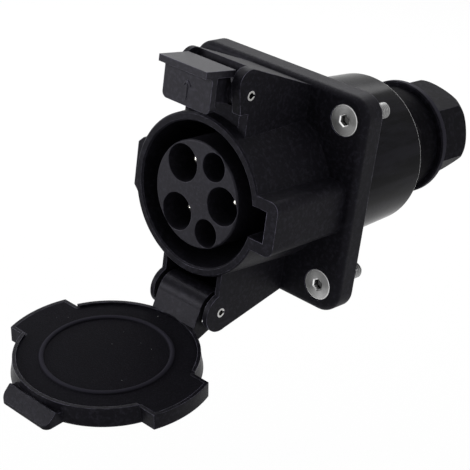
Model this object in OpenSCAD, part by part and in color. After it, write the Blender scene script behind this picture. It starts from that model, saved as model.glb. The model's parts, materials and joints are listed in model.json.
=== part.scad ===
// Panel-mounted charging inlet with a flip lid, a sprung latch and a rear shell with a cable gland.
// X runs to the right seen from the front, Y to the back and Z up. The origin lies on the axis of
// the barrel, in the rear face of the flange that sits on the panel.

/* [Flange] */
// Side length of the square flange
flange_w = 70.4; // [68:0.2:80]
// Thickness of the flange
flange_t = 7.6; // [6.6:0.1:10]
// Corner radius of the flange
flange_corner_r = 7; // [4:0.5:10]
// Fillet along the front edge of the flange
flange_edge_r = 2; // [0.5:0.25:3]
// Distance between neighbouring mounting screws
screw_pitch = 54; // [52:0.5:56]
// Thread diameter of the mounting screws
screw_d = 5; // [3:0.5:6]
// Step from the thread of the mounting screws down to their shank
screw_relief = 0.3; // [0.1:0.05:0.5]
// Length of the mounting screws, head included
screw_l = 20; // [14:0.5:40]
// Head diameter of the mounting screws
screw_head_d = 9.8; // [8:0.1:11]
// Width across the flats of the screw's socket
screw_socket_af = 3; // [2:0.5:4]
// Depth of the screw's socket
screw_socket_depth = 2.3; // [1.5:0.1:3]

/* [Barrel] */
// Length of the barrel in front of the flange
barrel_l = 31.2; // [28:0.2:40]
// Inner diameter of the barrel
bore_d = 45; // [44:0.1:46]
// Outer diameter of the barrel at the rim
barrel_rim_d = 50.3; // [49:0.1:52]
// Outer diameter of the barrel at the flange
barrel_root_d = 52.4; // [50:0.1:54]
// Bevel on the edges of the rim
rim_bevel = 0.5; // [0.2:0.1:1]
// Reach of the key rib from the axis
key_reach = 32; // [29.5:0.1:34]
// Height of the key rib
key_h = 17; // [14:0.2:20]
// Corner radius of the key rib
key_corner_r = 3; // [1:0.25:5]
// Width of the keyway inside the rib
keyway_w = 10; // [7:0.2:11]
// Reach of the keyway from the axis
keyway_reach = 28; // [25:0.1:28.5]
// Length of the keyway from the rim
keyway_l = 27; // [15:0.5:28]
// Reach of the plug catch from the axis
catch_reach = 28.1; // [27:0.1:30]
// Height of the plug catch
catch_h = 18.2; // [14:0.2:22]
// Length of the plug catch
catch_l = 5; // [3:0.1:10]
// Distance of the plug catch behind the rim
catch_setback = 2.8; // [1:0.1:6]
// Bevel on the corners of the plug catch
catch_bevel = 2; // [0.5:0.1:3]

/* [Contacts] */
// Diameter of the contact core
core_d = 33.5; // [33:0.1:35]
// Distance of the core's face behind the rim
core_setback = 0.5; // [0.2:0.1:3]
// Diameter of the power and earth cavities
power_cavity_d = 11.9; // [10:0.1:12]
// Diameter of the signal cavities
signal_cavity_d = 8.9; // [7:0.1:9]
// Depth of the cavities
cavity_depth = 29; // [20:0.5:29]
// Distance of the pin tips behind the core's face
pin_setback = 5.5; // [3:0.1:10]
// Diameter of the power pins
power_pin_d = 3.6; // [3:0.1:4]
// Diameter of the earth pin
earth_pin_d = 2.8; // [2.4:0.1:3.6]
// Diameter of the signal pins
signal_pin_d = 1.5; // [1:0.1:2]
// Thickness of the shoulder on each contact
shoulder_t = 1.5; // [1:0.1:1.8]
// Step from a crimp barrel to its shoulder
shoulder_step = 0.6; // [0.4:0.05:0.8]
// Wall of the crimp barrels
crimp_wall = 0.7; // [0.5:0.05:0.8]
// Length of the crimp barrels behind the insert
crimp_l = 16; // [12:0.5:22]
// Depth of the wire holes in the crimp barrels
crimp_depth = 9; // [5:0.5:11]
// Bevel on the edge of the core's face
core_bevel = 0.4; // [0.2:0.1:0.8]
// Distance of the insert's base behind the flange's front face
insert_setback = 1.6; // [1.2:0.1:2]
// Thickness of the lip that stops the insert
seat_lip_t = 2; // [1.5:0.1:3]
// Height of the lip that stops the insert
seat_lip_h = 2; // [1.5:0.1:2.5]
// Thickness of the insert's base disc
base_t = 4; // [3.4:0.1:5]
// Thickness of the contact retainer
retainer_t = 4; // [3:0.1:5]
// Circle on which the retainer screws stand
retainer_pcd = 39.2; // [38:0.1:39.6]
// Thread diameter of the retainer screws
retainer_screw_d = 2.5; // [2:0.1:2.8]
// Width across the flats of the retainer screws' socket
retainer_socket_af = 1.5; // [1:0.1:1.8]
// Wall in front of the retainer screws
screw_hole_end = 0.8; // [0.5:0.1:1.5]
// Thickness of the insert's lock ring
lock_ring_t = 3; // [2:0.1:4]
// Inner diameter of the insert's lock ring
lock_ring_d = 37; // [34:0.2:39]

/* [Ears] */
// Distance between the inner faces of a pair of ears
ear_gap = 19.6; // [19.4:0.1:22]
// Thickness of the right latch ear
ear_t = 3.2; // [2.5:0.1:4]
// Thickness of the right hinge ear
hinge_ear_t = 1.7; // [1.4:0.1:2.4]
// Thickness of the left ears
left_ear_t = 1.6; // [1.4:0.1:4]
// Distance of the lid's hinge below the axis
hinge_drop = 35; // [34.5:0.1:38]
// Distance of the lid's hinge behind the rim
hinge_setback = 3.8; // [3:0.1:6]
// Radius of the hinge ears around the pin
hinge_boss_r = 6.3; // [6:0.1:6.4]
// Distance of the hinge ears' front edge behind the rim
hinge_ear_setback = 1.8; // [1:0.1:3]
// Thickness of the floor between the hinge ears
floor_t = 2.5; // [1.8:0.1:3]
// Gap between the lid's knuckle and that floor
floor_gap = 1.4; // [0.8:0.1:3]
// Distance of the latch pin above the axis
latch_rise = 34.5; // [34:0.1:36]
// Distance of the latch pin behind the rim
latch_setback = 4.3; // [3.8:0.1:6]
// Height of the hood at the flange, from the latch pin
hood_root_z = -0.7; // [-1.5:0.1:0]
// Slope of the hood
hood_slope = 17.9; // [16:0.1:20]
// Thickness of the hood's roof
hood_t = 2.5; // [1.5:0.1:3]
// Distance of the hood's front edge behind the rim
hood_setback = 5.1; // [4.8:0.1:10]
// Forward lean of the latch ears' front edge
ear_lean = 12; // [9:0.1:15]
// Radius of the latch ears' front corner
ear_nose_r = 4.5; // [2:0.1:5]
// Height of the step in the latch ears' front edge, from the latch pin
ear_step_z = -5.4; // [-6.5:0.1:-4.8]
// Length of that step
ear_step = 3.3; // [2.5:0.1:3.8]
// Distance of the latch ears' foot behind the rim
ear_setback = 3.9; // [3.4:0.1:4.6]
// Height of the stop wall below the latch, from the latch pin
stop_wall_z = -5.1; // [-6.5:0.1:-4.9]
// Thickness of the stop wall
stop_wall_t = 2.5; // [2:0.1:3.4]
// Distance of the stop wall behind the latch ears' foot
stop_wall_inset = 0.5; // [0.3:0.1:1]
// Diameter of both pivot pins
pin_d = 3; // [2:0.1:3.2]
// Wall of the pivot pins
pin_wall = 0.6; // [0.4:0.05:0.8]

/* [Lid] */
// Angle of the open lid, from closed
lid_open_angle = 98.9; // [90:0.1:110]
// Diameter of the lid's rim
lid_d = 55.5; // [55:0.1:57]
// Height of the lid from its outer face to the pad
lid_h = 5.4; // [5.2:0.1:7]
// Thickness of the lid's outer wall and rim
lid_wall = 1.1; // [0.8:0.05:1.4]
// Height of the rim lip above the pad
lip_h = 0.85; // [0.5:0.05:1]
// Radius of the lid's outer edge
lid_edge_r = 0.9; // [0.5:0.1:2]
// Flare of the lid's wall towards its outer face
lid_flare = 0.7; // [0:0.1:1]
// Diameter across the side lobes
lobe_d = 66; // [64:0.2:69]
// Height of the side lobes
lobe_h = 21.8; // [19:0.2:24]
// Width of the lid's tongue
tongue_w = 20; // [16:0.2:22]
// Reach of the tongue past the lower edge of the latch's front plate
tongue_reach = 2.6; // [1.9:0.1:3]
// Thickness of the tongue at its far edge
tongue_edge_t = 1.1; // [0.8:0.1:1.6]
// Depth of the groove between tongue and rim
tongue_groove = 1.6; // [0.8:0.1:2.2]
// Corner radius of the tongue
tongue_corner_r = 2; // [1:0.25:4]
// Length of the lid's hinge knuckle
knuckle_l = 17.8; // [15:0.1:18.4]
// Radius of the lid's hinge knuckle
knuckle_r = 6.1; // [5.6:0.1:6.2]
// Thickness of the rubber pad
pad_t = 2.6; // [2:0.1:3]
// Outer diameter of the raised ring on the pad
ring_d = 40.2; // [38.5:0.1:42]
// Width of the raised ring on the pad
ring_w = 1.6; // [1:0.1:2]

/* [Latch] */
// Width of the latch
latch_w = 18.8; // [17:0.1:19]
// Reach of the thumb plate in front of the rim
thumb_reach = 11.8; // [11:0.1:14]
// Height of the thumb plate's front edge, from the latch pin
thumb_z = 8.3; // [7.5:0.1:9]
// Thickness of the thumb plate
thumb_t = 2.1; // [1.6:0.1:3]
// Radius of the cove under the thumb plate
thumb_cove_r = 2; // [1:0.1:2.4]
// Fall of the thumb plate to the back
thumb_fall = 1; // [0:0.1:1.5]
// Distance of the front plate in front of the rim
front_plate_reach = 8.9; // [8.6:0.1:10]
// Thickness of the front plate
front_plate_t = 2; // [1.5:0.1:2.2]
// Height of the front plate's lower edge, from the latch pin
front_plate_z = -4.9; // [-5.5:0.1:-4]
// Corner radius of the front plate
front_plate_r = 1.8; // [0.5:0.1:3]
// Depth of the hook behind the front plate
hook_depth = 0.8; // [0.4:0.05:0.9]
// Height of the hook
hook_h = 1.8; // [1:0.1:2.5]
// Radius of the latch's hub
hub_r = 4; // [3.6:0.1:4.5]
// Length of each hub cheek along the pin
cheek_l = 4.2; // [3.5:0.1:4.5]
// Thickness of the latch's ribs
latch_rib_t = 2; // [1.5:0.1:2.5]
// Thickness of the spring shelf between the ribs
shelf_t = 1.6; // [1:0.1:2]

/* [Springs] */
// Wire diameter of the lid springs
lid_wire_d = 1; // [0.8:0.05:1.1]
// Mean radius of the lid springs
lid_coil_r = 3.1; // [2.9:0.05:3.3]
// Turns of each lid spring
lid_coil_turns = 4; // [3:1:5]
// Radius of the spring pockets in the knuckle
pocket_r = 4.2; // [4:0.05:4.4]
// Depth of the spring pockets
pocket_depth = 4.4; // [4.2:0.1:6]
// Wire diameter of the latch spring
latch_wire_d = 0.9; // [0.7:0.05:1]
// Mean radius of the latch spring
latch_coil_r = 2.6; // [2.4:0.05:2.8]
// Turns of the latch spring
latch_coil_turns = 7; // [5:1:8]
// Length of the latch spring's legs
latch_leg_l = 7; // [5:0.2:7.4]

/* [Rear shell and gland] */
// Length of the shell behind the flange
shell_l = 41.3; // [36:0.1:50]
// Diameter of the shell at the flange
shell_front_d = 54; // [53:0.1:56]
// Diameter of the shell at its rear rim
shell_rear_d = 50.4; // [49:0.1:53]
// Wall of the shell
shell_wall = 2.2; // [1.8:0.1:2.6]
// Thickness of the shell's rear wall
shell_back_t = 3; // [2:0.1:5]
// Length of the housing's rear spigot
spigot_l = 8; // [6:0.1:10]
// Thickness of the shell seal
shell_seal_t = 1; // [0.6:0.1:1.4]
// Depth of the shell's seat in the flange
shell_seat_depth = 1.2; // [0.8:0.1:1.6]
// Gap round the shell in its seat
shell_seat_gap = 0.2; // [0.1:0.05:0.5]
// Step inside the shell behind the spigot
shell_step = 0.4; // [0.2:0.1:1]
// Thread diameter of the gland
gland_thread_d = 28; // [24:0.2:30]
// Width across the flats of the gland body's hexagon
gland_body_af = 36.8; // [35:0.2:38.6]
// Bevel on the corners of the gland body's hexagon
hex_bevel = 1.6; // [0.8:0.1:2.5]
// Length of the gland body's hexagon
gland_hex_l = 7.8; // [6:0.1:10]
// Length of the gland body from its washer to the nut
gland_body_l = 19; // [15:0.5:24]
// Step from the nut's collar down to the round part of the gland body
round_step = 1.8; // [1.2:0.1:2.6]
// Thickness of the gland washer
gland_washer_t = 1; // [0.6:0.1:2]
// Thickness of the gland's locknut
locknut_t = 5; // [4:0.1:7]
// Width across the flats of the gland's locknut
locknut_af = 36; // [33:0.5:39]
// Length of the gland's thread in front of its locknut
thread_end = 2; // [1:0.1:4]
// Width across the flats of the gland nut
gland_nut_af = 30.4; // [29.6:0.1:32]
// Wall of the gland nut at its flats
nut_wall = 2.2; // [1.8:0.1:2.4]
// Thickness of the gland nut's end behind the seal
nut_end_t = 2.4; // [1.5:0.1:4]
// Gap between the gland body and the nut
nut_gap = 0.4; // [0.2:0.1:1]
// Length of the gland nut
gland_nut_l = 22.6; // [20:0.2:26]
// Length of the collar at the front of the gland nut
nut_collar_l = 2.8; // [1.5:0.1:4]
// Diameter of the collar at the front of the gland nut
nut_collar_d = 39.4; // [38:0.1:41]
// Bevel on the edges of the collar
nut_bevel = 0.4; // [0.2:0.1:0.7]
// Radius of the gland nut's rounded end
nut_round_r = 6.2; // [3:0.1:7]
// Turn of the gland nut on its thread
nut_turn = 46; // [0:1:60]
// Turn of the gland body's hexagon
body_turn = 30; // [0:1:60]
// Length of the gland body's rear thread
neck_l = 12; // [9:0.2:13]
// Wall of the gland body's rear thread
neck_wall = 2.4; // [2:0.1:2.6]
// Depth of the seal's seat behind the round part
seal_seat = 3; // [1:0.1:5]
// Widening of the cable passage beside the seal
passage_relief = 0.4; // [0.2:0.1:1]
// Diameter of the cable passage
cable_d = 17.5; // [12:0.5:18]

/* [Clearances] */
// Gap between pieces that are screwed or pushed together
fit_gap = 0.05; // [0.02:0.01:0.1]
// Gap between a pin and what turns on it
running_gap = 0.05; // [0.03:0.01:0.08]
// Gap between the closed lid and the barrel
lid_gap = 0.3; // [0.2:0.05:0.5]

/* [Hidden] */
$fn = 64;

// Overlap that joins shapes and carries cuts past a face
over = 1;
// Depth at which a straight edge enters a round end
blend_in = 0.05;
plastic = [0.09, 0.09, 0.1];
shell_black = [0.04, 0.04, 0.045];
rubber = [0.06, 0.06, 0.06];
steel = [0.72, 0.73, 0.75];
silver = [0.8, 0.79, 0.76];

// Depths along Y
rim_y = -flange_t - barrel_l;
core_y = rim_y + core_setback;
insert_front_y = -flange_t + insert_setback;
insert_rear_y = insert_front_y + base_t;
retainer_rear_y = insert_rear_y + retainer_t;
cavity_floor_y = core_y + cavity_depth;
pad_y = rim_y - lid_gap;
lid_outer_y = pad_y - lid_h;
hinge_y = rim_y + hinge_setback;
latch_y = rim_y + latch_setback;
ear_foot_y = rim_y + ear_setback;

// Heights of the latch, of what stands round it and of the tongue that it holds
hood_z = latch_rise + hood_root_z;
step_z = latch_rise + ear_step_z;
wall_top_z = latch_rise + stop_wall_z;
thumb_top_z = latch_rise + thumb_z;
plate_low_z = latch_rise + front_plate_z;
tongue_end = plate_low_z + tongue_reach;

// Radii of the fits between housing, insert and shell
bore_r = bore_d / 2;
spigot_r = shell_front_d / 2 - shell_wall - fit_gap;
seat_r = shell_front_d / 2 + shell_seat_gap;
insert_r = bore_r - fit_gap;

// Each contact: its place in X and Z, its cavity radius and its pin radius
contact_line = [-6.8, 7.9, power_cavity_d / 2, power_pin_d / 2];
contact_neutral = [-6.8, -7.9, power_cavity_d / 2, power_pin_d / 2];
contact_earth = [10.6, 0, power_cavity_d / 2, earth_pin_d / 2];
contact_pilot = [5.6, 10.65, signal_cavity_d / 2, signal_pin_d / 2];
contact_proximity = [5.6, -10.65, signal_cavity_d / 2, signal_pin_d / 2];
contacts = [contact_line, contact_neutral, contact_earth, contact_pilot, contact_proximity];
crimp_r = function (c) c[3] + crimp_wall;
shoulder_r = function (c) crimp_r(c) + shoulder_step;

pin_r = pin_d / 2;
ear_right = ear_gap / 2 + ear_t;
ear_left = -ear_gap / 2 - left_ear_t;

// Free width between the hinge ears, and its middle
hinge_gap = ear_gap + ear_t - hinge_ear_t;
hinge_mid = (ear_t - hinge_ear_t) / 2;

screw_places = [for (sx = [-1, 1]) for (sz = [-1, 1]) [sx * screw_pitch / 2, sz * screw_pitch / 2]];

// Face and straight rim of the sunk screw heads
screw_face_y = -flange_t + 2 * fit_gap;
screw_head_rim = 0.3;
screw_turn = 30;

// Point where the line through p along u meets the line through q along w
function crossing(p, u, q, w) =
    p + u * (((q[0] - p[0]) * w[1] - (q[1] - p[1]) * w[0]) / (u[0] * w[1] - u[1] * w[0]));

// Point where a line from p runs into the round end at c, on the side given by 1 or -1
function touch(p, c, r, side) =
    let (in_r = r - blend_in, a = atan2(p[1] - c[1], p[0] - c[0]) + side * acos(in_r / norm(p - c)))
    c + in_r * [cos(a), sin(a)];

// Corner radius of a hexagon from its width across the flats
function hex_r(af) = af / sqrt(3);

// An outline in X and Z, carried along Y from y0 to y1
module along_y(y0, y1) {
    translate([0, y1, 0]) rotate([90, 0, 0]) linear_extrude(height = y1 - y0) children();
}

// An outline in Y and Z, carried along X from x0 to x1
module along_x(x0, x1) {
    translate([x0, 0, 0]) rotate([90, 0, 90]) linear_extrude(height = x1 - x0) children();
}

module rod_y(r, y0, y1) {
    translate([0, y1, 0]) rotate([90, 0, 0]) cylinder(r = r, h = y1 - y0);
}

module cone_y(r0, r1, y0, y1) {
    translate([0, y1, 0]) rotate([90, 0, 0]) cylinder(r1 = r1, r2 = r0, h = y1 - y0);
}

module rod_x(r, x0, x1) {
    translate([x0, 0, 0]) rotate([0, 90, 0]) cylinder(r = r, h = x1 - x0);
}

module hex_y(af, y0, y1, turn = 0) {
    translate([0, y1, 0]) rotate([90, 0, 0]) rotate(turn)
        cylinder(r = hex_r(af), h = y1 - y0, $fn = 6);
}

// A body turned about Y from points of radius and depth
module turned(points) {
    rotate([90, 0, 0]) rotate_extrude() polygon([for (p = points) [p[0], -p[1]]]);
}

module both_sides() {
    children();
    mirror([1, 0, 0]) children();
}

module at_pivot(y, z) {
    translate([0, y, z]) children();
}

module rounded_rectangle(w, h, r) {
    square([w - 2 * r, h], center = true);
    square([w, h - 2 * r], center = true);
    for (sx = [-1, 1]) for (sy = [-1, 1])
        translate([sx * (w / 2 - r), sy * (h / 2 - r)]) circle(r);
}

// Half section of the flange, with its rounded front edge, out to the given reach
module flange_section(reach) {
    square([reach, flange_t - flange_edge_r]);
    square([reach - flange_edge_r, flange_t]);
    translate([reach - flange_edge_r, flange_t - flange_edge_r]) circle(flange_edge_r);
}

// Flange: one section carried across both ways, and turned at the four corners
module flange() {
    run = flange_w / 2 - flange_corner_r;
    for (a = [0:90:270]) rotate([90, a, 0]) {
        rotate([90, 0, 0]) linear_extrude(height = 2 * run, center = true)
            flange_section(flange_w / 2);
        translate([run, run, 0]) rotate_extrude() flange_section(flange_corner_r);
    }
}

module barrel() {
    rim_r = barrel_rim_d / 2;
    turned([[0, rim_y], [rim_r - rim_bevel, rim_y], [rim_r, rim_y + rim_bevel],
            [barrel_root_d / 2, -flange_t], [0, -flange_t]]);
}

module key_rib() {
    mid = key_reach - key_corner_r;
    along_y(rim_y, -flange_t + over) {
        translate([0, -key_h / 2 + key_corner_r]) square([key_reach, key_h - 2 * key_corner_r]);
        translate([0, -key_h / 2]) square([mid, key_h]);
        for (s = [-1, 1]) translate([mid, s * (key_h / 2 - key_corner_r)]) circle(key_corner_r);
    }
}

module plug_catch() {
    y0 = rim_y + catch_setback;
    half = catch_h / 2;
    along_y(y0, y0 + catch_l) polygon([
        [0, -half], [-catch_reach + catch_bevel, -half], [-catch_reach, -half + catch_bevel],
        [-catch_reach, half - catch_bevel], [-catch_reach + catch_bevel, half], [0, half]
    ]);
}

// A left and a right ear of the same outline, the right one of the given thickness
module ears(right_t) {
    along_x(ear_left, -ear_gap / 2) children();
    along_x(ear_right - right_t, ear_right) children();
}

// Lower line of the hinge ears, from the flange's edge to the boss round the pin
hinge_boss = [hinge_y, -hinge_drop];
hinge_root = [-flange_t, -flange_w / 2 + flange_edge_r / 2];
hinge_foot = touch(hinge_root, hinge_boss, hinge_boss_r, -1);

// Outline of the hinge ears: a boss round the pin and a web from the flange's lower edge
module hinge_ear() {
    front = rim_y + hinge_ear_setback;
    inside = -bore_r + ear_t;
    translate(hinge_boss) circle(hinge_boss_r);
    polygon([
        [-flange_t + over, inside], [-flange_t + over, hinge_root[1]], hinge_root, hinge_foot,
        hinge_boss, [front, -hinge_drop], [front, inside]
    ]);
}

// Floor between the hinge ears, along their lower line, behind the lid's knuckle
module hinge_floor() {
    run = (hinge_foot - hinge_root) / norm(hinge_foot - hinge_root);
    up = floor_t * [run[1], -run[0]];
    low = crossing(hinge_root, run, [hinge_y + knuckle_r + floor_gap, 0], [0, 1]);
    back = crossing(hinge_root + up, run, [-flange_t, 0], [0, 1]);
    along_x(-ear_gap / 2 - over, ear_right - hinge_ear_t + over) polygon([
        [-flange_t + over, hinge_root[1]], hinge_root, low, low + up, back, [-flange_t + over, back[1]]
    ]);
}

// Sloping upper line of the latch ears and the hood, from the flange to the front
hood_root = [-flange_t, hood_z];
hood_run = [-cos(hood_slope), sin(hood_slope)];
hood_up = [sin(hood_slope), cos(hood_slope)];

// Outline of the latch ears: they step and lean forwards under the slope and end in a rounded nose
module latch_ear() {
    foot = [ear_foot_y, step_z];
    brow = foot - [ear_step, 0];
    lean_run = [-sin(ear_lean), cos(ear_lean)];
    lean_out = [-cos(ear_lean), -sin(ear_lean)];
    nose = crossing(hood_root - ear_nose_r * hood_up, hood_run,
                    brow - ear_nose_r * lean_out, lean_run);
    inside = bore_r - ear_t;
    translate(nose) circle(ear_nose_r);
    polygon([
        [-flange_t + over, inside], [-flange_t + over, hood_z], hood_root,
        nose + ear_nose_r * hood_up, nose, nose + ear_nose_r * lean_out, brow, foot, [foot[0], inside]
    ]);
}

// Roof between the latch ears
module hood() {
    reach = (barrel_l - hood_setback) / cos(hood_slope);
    front = hood_root + reach * hood_run;
    under = hood_root - hood_t * hood_up;
    along_x(-ear_gap / 2 - over, ear_gap / 2 + over) polygon([
        [-flange_t + over, hood_z], hood_root, front, front - hood_t * hood_up,
        crossing(under, hood_run, [-flange_t, 0], [0, 1]),
        [-flange_t + over, hood_z - hood_t]
    ]);
}

module stop_wall() {
    along_x(-ear_gap / 2 - over, ear_gap / 2 + over)
        translate([ear_foot_y + stop_wall_inset, bore_r - ear_t])
            square([stop_wall_t, wall_top_z - bore_r + ear_t]);
}

module screw_seats() {
    r = screw_d / 2 + fit_gap;
    head_r = screw_head_d / 2 + fit_gap;
    cone_start = screw_face_y + screw_head_rim;
    for (p = screw_places) translate([p[0], 0, p[1]]) {
        rod_y(r, -flange_t - over, over);
        cone_y(head_r, r, cone_start, cone_start + head_r - r);
        rod_y(head_r, -flange_t - over, cone_start);
    }
}

module pin_hole() {
    rod_x(pin_r + fit_gap / 2, ear_left - over, ear_right + over);
}

module front_housing() {
    color(plastic) difference() {
        union() {
            flange();
            barrel();
            key_rib();
            plug_catch();
            ears(hinge_ear_t) hinge_ear();
            hinge_floor();
            ears(ear_t) latch_ear();
            hood();
            stop_wall();
            rod_y(spigot_r, -flange_t / 2, spigot_l);
        }
        rod_y(bore_r, rim_y - over, insert_front_y - seat_lip_t);
        cone_y(bore_r + rim_bevel + over, bore_r, rim_y - over, rim_y + rim_bevel);
        rod_y(bore_r - seat_lip_h, insert_front_y - seat_lip_t - over, insert_front_y + over);
        rod_y(bore_r, insert_front_y, spigot_l + over);
        translate([0, rim_y - over, -keyway_w / 2]) cube([keyway_reach, keyway_l + over, keyway_w]);
        turned([[spigot_r, -shell_seat_depth], [seat_r, -shell_seat_depth], [seat_r, over],
                [spigot_r, over]]);
        screw_seats();
        at_pivot(hinge_y, -hinge_drop) pin_hole();
        at_pivot(latch_y, latch_rise) pin_hole();
    }
}

module retainer_screw_places() {
    for (a = [90, 210, 330])
        translate([retainer_pcd / 2 * cos(a), 0, retainer_pcd / 2 * sin(a)]) children();
}

module core() {
    r = core_d / 2;
    turned([[0, core_y], [r - core_bevel, core_y], [r, core_y + core_bevel],
            [r, insert_front_y + over], [0, insert_front_y + over]]);
}

module contact_insert() {
    color(plastic) difference() {
        union() {
            core();
            rod_y(insert_r, insert_front_y, insert_rear_y);
        }
        for (c = contacts) translate([c[0], 0, c[1]]) {
            rod_y(c[2], core_y - over, cavity_floor_y);
            rod_y(c[3] + fit_gap, cavity_floor_y - over, insert_rear_y);
            rod_y(shoulder_r(c) + fit_gap, insert_rear_y - shoulder_t, insert_rear_y + over);
        }
        retainer_screw_places()
            rod_y(retainer_screw_d / 2 + fit_gap, insert_front_y + screw_hole_end, insert_rear_y + over);
    }
}

// One turned contact: a round-ended pin, a shoulder and a hollow crimp barrel
module contact(c) {
    tip_y = core_y + pin_setback;
    rear_y = insert_rear_y + crimp_l;
    dome_r = c[3] - blend_in;
    color(silver) translate([c[0], 0, c[1]]) difference() {
        union() {
            translate([0, tip_y + dome_r, 0]) rotate([90, 0, 0]) sphere(dome_r);
            rod_y(c[3], tip_y + dome_r, insert_rear_y - shoulder_t / 2);
            rod_y(shoulder_r(c), insert_rear_y - shoulder_t + fit_gap, insert_rear_y);
            rod_y(crimp_r(c), insert_rear_y - shoulder_t / 2, rear_y);
        }
        rod_y(c[3], rear_y - crimp_depth, rear_y + over);
    }
}

module line_contact() contact(contact_line);
module neutral_contact() contact(contact_neutral);
module earth_contact() contact(contact_earth);
module pilot_contact() contact(contact_pilot);
module proximity_contact() contact(contact_proximity);

retainer_head_r = retainer_screw_d;
retainer_head_depth = retainer_screw_d / 2;

module contact_retainer() {
    color(plastic) difference() {
        rod_y(insert_r, insert_rear_y, retainer_rear_y);
        for (c = contacts) translate([c[0], 0, c[1]])
            rod_y(crimp_r(c) + fit_gap, insert_rear_y - over, retainer_rear_y + over);
        retainer_screw_places() {
            rod_y(retainer_screw_d / 2 + fit_gap, insert_rear_y - over, retainer_rear_y + over);
            cone_y(retainer_screw_d / 2 + fit_gap, retainer_head_r + fit_gap,
                   retainer_rear_y - retainer_head_depth, retainer_rear_y);
        }
    }
}

module retainer_screws() {
    tip_y = insert_front_y + screw_hole_end + 4 * fit_gap;
    color(steel) retainer_screw_places() difference() {
        union() {
            rod_y(retainer_screw_d / 2, tip_y, retainer_rear_y - retainer_head_depth / 2);
            cone_y(retainer_screw_d / 2, retainer_head_r,
                   retainer_rear_y - retainer_head_depth, retainer_rear_y);
        }
        hex_y(retainer_socket_af, retainer_rear_y - retainer_head_depth, retainer_rear_y + over);
    }
}

// Threaded ring behind the retainer, with four notches for a pin spanner
module insert_lock_ring() {
    notch = lock_ring_t;
    color(plastic) difference() {
        rod_y(insert_r, retainer_rear_y, retainer_rear_y + lock_ring_t);
        rod_y(lock_ring_d / 2, retainer_rear_y - over, retainer_rear_y + lock_ring_t + over);
        for (a = [0, 90]) rotate([0, a, 0])
            translate([-bore_r, retainer_rear_y + lock_ring_t / 2, -notch / 2])
                cube([bore_d, lock_ring_t, notch]);
    }
}

// Countersunk screws with a slim shank in the flange, and a thread that starts at the panel's face
module flange_screws() {
    r = screw_d / 2;
    shank_r = r - screw_relief;
    head_r = screw_head_d / 2;
    bevel = screw_head_rim / 2;
    cone_start = screw_face_y + screw_head_rim;
    tip_y = screw_face_y + screw_l;
    tip = screw_d / 10;
    color(steel) for (p = screw_places) translate([p[0], 0, p[1]]) difference() {
        turned([[0, screw_face_y], [head_r - bevel, screw_face_y], [head_r, screw_face_y + bevel],
                [head_r, cone_start], [shank_r, cone_start + head_r - shank_r], [shank_r, 0], [r, 0],
                [r, tip_y - tip], [r - tip, tip_y], [0, tip_y]]);
        hex_y(screw_socket_af, screw_face_y - over, screw_face_y + screw_socket_depth, screw_turn);
    }
}

// The lid is drawn closed and then swung open about its hinge
module swung_open() {
    translate([0, hinge_y, -hinge_drop]) rotate([lid_open_angle, 0, 0])
        translate([0, -hinge_y, hinge_drop]) children();
}

// Plan of the lid, drawn in by the given amount all round
module lid_plan(inset) {
    circle(lid_d / 2 - inset);
    intersection() {
        circle(lobe_d / 2 - inset);
        square([lobe_d, lobe_h - 2 * inset], center = true);
    }
}

// Rim of the lid: a dish with a flared wall and a rounded outer edge
module lid_dish() {
    r = lid_d / 2;
    round_r = r + lid_flare - lid_edge_r;
    round_y = -lid_outer_y - lid_edge_r;
    rotate([90, 0, 0]) rotate_extrude() {
        polygon([[0, -pad_y], [r, -pad_y], [round_r + lid_edge_r - blend_in, round_y],
                 [round_r, round_y], [round_r, -lid_outer_y], [0, -lid_outer_y]]);
        translate([round_r, round_y]) circle(lid_edge_r);
    }
    along_y(lid_outer_y + lid_edge_r / 2, pad_y) lid_plan(0);
}

module lid_lip() {
    difference() {
        rod_y(lid_d / 2, pad_y - lip_h, pad_y + lip_h);
        rod_y(lid_d / 2 - lid_wall, pad_y - lip_h - over, pad_y + lip_h + over);
        translate([-lobe_d / 2, pad_y - over, -lobe_h / 2]) cube([lobe_d, 2 * over + lip_h, lobe_h]);
    }
}

// Tongue under the latch: bevelled towards the barrel, with a groove along the rim
module tongue() {
    r = lid_d / 2;
    top = r + tongue_groove / 2;
    intersection() {
        along_x(-tongue_w / 2, tongue_w / 2) polygon([
            [lid_outer_y, 0], [lid_outer_y, tongue_end],
            [lid_outer_y + tongue_edge_t, tongue_end], [pad_y - tongue_groove / 2, top],
            [pad_y - tongue_groove, r - tongue_groove / 4], [pad_y - tongue_groove, 0]
        ]);
        along_y(lid_outer_y - over, pad_y + over)
            rounded_rectangle(tongue_w, 2 * tongue_end, tongue_corner_r);
    }
}

// Arm from the dish to the knuckle round the hinge pin
module lid_arm() {
    boss = [hinge_y, -hinge_drop];
    face = [lid_outer_y + lid_edge_r / 2, -lid_d / 2 + 2 * lid_edge_r];
    back = [pad_y - over, -lid_d / 2 + 2 * lid_wall];
    along_x(hinge_mid - knuckle_l / 2, hinge_mid + knuckle_l / 2) {
        translate(boss) circle(knuckle_r);
        polygon([face, touch(face, boss, knuckle_r, 1), boss, touch(back, boss, knuckle_r, -1), back]);
    }
}

module lid() {
    color(plastic) swung_open() difference() {
        union() {
            lid_dish();
            lid_lip();
            tongue();
            lid_arm();
        }
        along_y(pad_y - pad_t, pad_y + lip_h + over) lid_plan(lid_wall);
        at_pivot(hinge_y, -hinge_drop) {
            rod_x(pin_r + running_gap, -knuckle_l, knuckle_l);
            translate([hinge_mid, 0, 0]) both_sides()
                rod_x(pocket_r, knuckle_l / 2 - pocket_depth, knuckle_l / 2 + over);
        }
    }
}

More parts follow.
